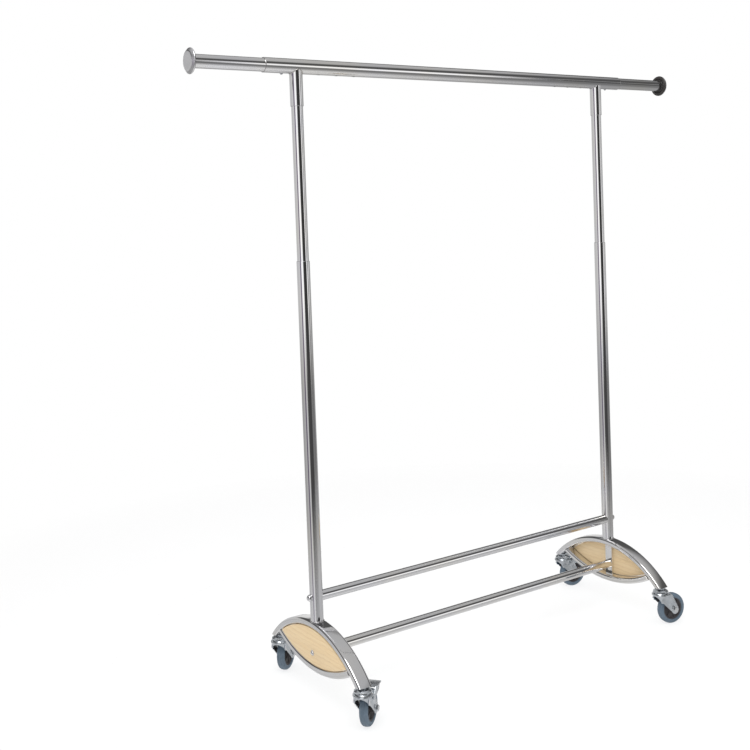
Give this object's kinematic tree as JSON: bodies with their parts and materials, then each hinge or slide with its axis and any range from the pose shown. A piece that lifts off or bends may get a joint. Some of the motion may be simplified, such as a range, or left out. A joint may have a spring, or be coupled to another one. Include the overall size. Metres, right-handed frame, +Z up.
{
  "type": "rolling clothes rack",
  "caption": "Chrome tube clothes rack on swivel casters, with telescoping uprights, pull-out rail ends and arched base frames filled with lens-shaped wooden panels.",
  "frame": {"origin": "on the floor, midway between the four caster swivel axes", "axes": "+X along the hanging rail to the rack's right end, +Y to the rear, +Z up"},
  "size_m": [1.386, 0.4234, 1.3965],
  "materials": {
    "chrome_tube": "mirror chrome plate on steel tube",
    "chrome_cap": "soft chrome plate, slightly hazy",
    "chrome_bolt": "bright plated bolt head",
    "zinc_steel": "bright zinc plate on stamped steel",
    "spring_steel": "plated spring steel",
    "maple_panel": "satin lacquered pale wood",
    "tyre_rubber": "moulded blue-grey rubber, matte",
    "hub_plastic": "moulded dark grey plastic",
    "nylon_plug": "moulded black nylon"
  },
  "bodies": {
    "base": {"base_arch_left": "chrome_tube", "base_arch_right": "chrome_tube", "lower_arc_left": "chrome_tube", "lower_arc_right": "chrome_tube", "strut_left": "chrome_tube", "strut_right": "chrome_tube", "wood_panel_left": "maple_panel", "wood_panel_right": "maple_panel", "lower_post_left": "chrome_tube", "lower_post_right": "chrome_tube", "arch_end_plugs": "nylon_plug", "upper_cross_bar": "chrome_tube", "lower_cross_bar": "chrome_tube", "cross_bar_inserts": "zinc_steel", "upper_bar_bolts": "chrome_bolt", "lower_bar_bolts": "chrome_bolt", "caster_stem_front_left": "zinc_steel", "caster_stem_rear_left": "zinc_steel", "caster_stem_front_right": "zinc_steel", "caster_stem_rear_right": "zinc_steel"},
    "top_frame": {"hanging_rail": "chrome_tube", "rail_socket_left": "chrome_tube", "rail_socket_right": "chrome_tube", "inner_post_left": "chrome_tube", "inner_post_right": "chrome_tube"},
    "rail_end_left": {"extension_tube_left": "chrome_tube", "end_cap_left": "chrome_cap"},
    "rail_button_left": {"rail_snap_clip_left": "spring_steel"},
    "post_button_left": {"post_snap_clip_left": "spring_steel"},
    "rail_end_right": {"extension_tube_right": "chrome_tube", "end_cap_right": "chrome_cap"},
    "rail_button_right": {"rail_snap_clip_right": "spring_steel"},
    "post_button_right": {"post_snap_clip_right": "spring_steel"},
    "caster_front_left": {"caster_fork_front_left": "zinc_steel", "caster_axle_front_left": "zinc_steel"},
    "wheel_front_left": {"caster_hub_front_left": "hub_plastic", "caster_tyre_front_left": "tyre_rubber"},
    "pedal_front_left": {"brake_pedal_front_left": "zinc_steel"},
    "caster_rear_left": {"caster_fork_rear_left": "zinc_steel", "caster_axle_rear_left": "zinc_steel"},
    "wheel_rear_left": {"caster_hub_rear_left": "hub_plastic", "caster_tyre_rear_left": "tyre_rubber"},
    "caster_front_right": {"caster_fork_front_right": "zinc_steel", "caster_axle_front_right": "zinc_steel"},
    "wheel_front_right": {"caster_hub_front_right": "hub_plastic", "caster_tyre_front_right": "tyre_rubber"},
    "caster_rear_right": {"caster_fork_rear_right": "zinc_steel", "caster_axle_rear_right": "zinc_steel"},
    "wheel_rear_right": {"caster_hub_rear_right": "hub_plastic", "caster_tyre_rear_right": "tyre_rubber"},
    "pedal_rear_right": {"brake_pedal_rear_right": "zinc_steel"}
  },
  "joints": [
    {"name": "height_adjust", "type": "slide", "parent": "base", "child": "top_frame", "axis": [0, 0, 1], "range_m": [-0.3, 0.2]},
    {"name": "rail_end_left_push_in", "type": "slide", "parent": "top_frame", "child": "rail_end_left", "axis": [1, 0, 0], "range_m": [0, 0.155]},
    {"name": "rail_button_left_press", "type": "slide", "parent": "rail_end_left", "child": "rail_button_left", "axis": [0, 0, 1], "range_m": [0, 0.0045], "stiffness_N_per_m": 900, "springref_m": -0.002, "deforming": ["rail_snap_clip_left"]},
    {"name": "post_button_left_press", "type": "slide", "parent": "top_frame", "child": "post_button_left", "axis": [0, -1, 0], "range_m": [0, 0.0045], "stiffness_N_per_m": 900, "springref_m": -0.002, "deforming": ["post_snap_clip_left"]},
    {"name": "rail_end_right_push_in", "type": "slide", "parent": "top_frame", "child": "rail_end_right", "axis": [-1, 0, 0], "range_m": [0, 0.155]},
    {"name": "rail_button_right_press", "type": "slide", "parent": "rail_end_right", "child": "rail_button_right", "axis": [0, 0, 1], "range_m": [0, 0.0045], "stiffness_N_per_m": 900, "springref_m": -0.002, "deforming": ["rail_snap_clip_right"]},
    {"name": "post_button_right_press", "type": "slide", "parent": "top_frame", "child": "post_button_right", "axis": [0, -1, 0], "range_m": [0, 0.0045], "stiffness_N_per_m": 900, "springref_m": -0.002, "deforming": ["post_snap_clip_right"]},
    {"name": "swivel_front_left", "type": "hinge", "parent": "base", "child": "caster_front_left", "pos_m": [-0.445, -0.174, 0.083], "axis": [0, 0, 1], "continuous": true},
    {"name": "wheel_spin_front_left", "type": "hinge", "parent": "caster_front_left", "child": "wheel_front_left", "pos_m": [-0.42136, -0.15553, 0.0375], "axis": [-0.6157, 0.788, 0], "continuous": true},
    {"name": "brake_pedal_front_left_press", "type": "hinge", "parent": "caster_front_left", "child": "pedal_front_left", "pos_m": [-0.43397, -0.16538, 0.068], "axis": [-0.6157, 0.788, 0], "range_deg": [0, 9.5]},
    {"name": "swivel_rear_left", "type": "hinge", "parent": "base", "child": "caster_rear_left", "pos_m": [-0.445, 0.174, 0.083], "axis": [0, 0, 1], "continuous": true},
    {"name": "wheel_spin_rear_left", "type": "hinge", "parent": "caster_rear_left", "child": "wheel_rear_left", "pos_m": [-0.42136, 0.19247, 0.0375], "axis": [-0.6157, 0.788, 0], "continuous": true},
    {"name": "swivel_front_right", "type": "hinge", "parent": "base", "child": "caster_front_right", "pos_m": [0.445, -0.174, 0.083], "axis": [0, 0, 1], "continuous": true},
    {"name": "wheel_spin_front_right", "type": "hinge", "parent": "caster_front_right", "child": "wheel_front_right", "pos_m": [0.47454, -0.17921, 0.0375], "axis": [0.1736, 0.9848, 0], "continuous": true},
    {"name": "swivel_rear_right", "type": "hinge", "parent": "base", "child": "caster_rear_right", "pos_m": [0.445, 0.174, 0.083], "axis": [0, 0, 1], "continuous": true},
    {"name": "wheel_spin_rear_right", "type": "hinge", "parent": "caster_rear_right", "child": "wheel_rear_right", "pos_m": [0.47454, 0.16879, 0.0375], "axis": [0.1736, 0.9848, 0], "continuous": true},
    {"name": "brake_pedal_rear_right_press", "type": "hinge", "parent": "caster_rear_right", "child": "pedal_rear_right", "pos_m": [0.45879, 0.17157, 0.068], "axis": [0.1736, 0.9848, 0], "range_deg": [0, 9.5]}
  ]
}
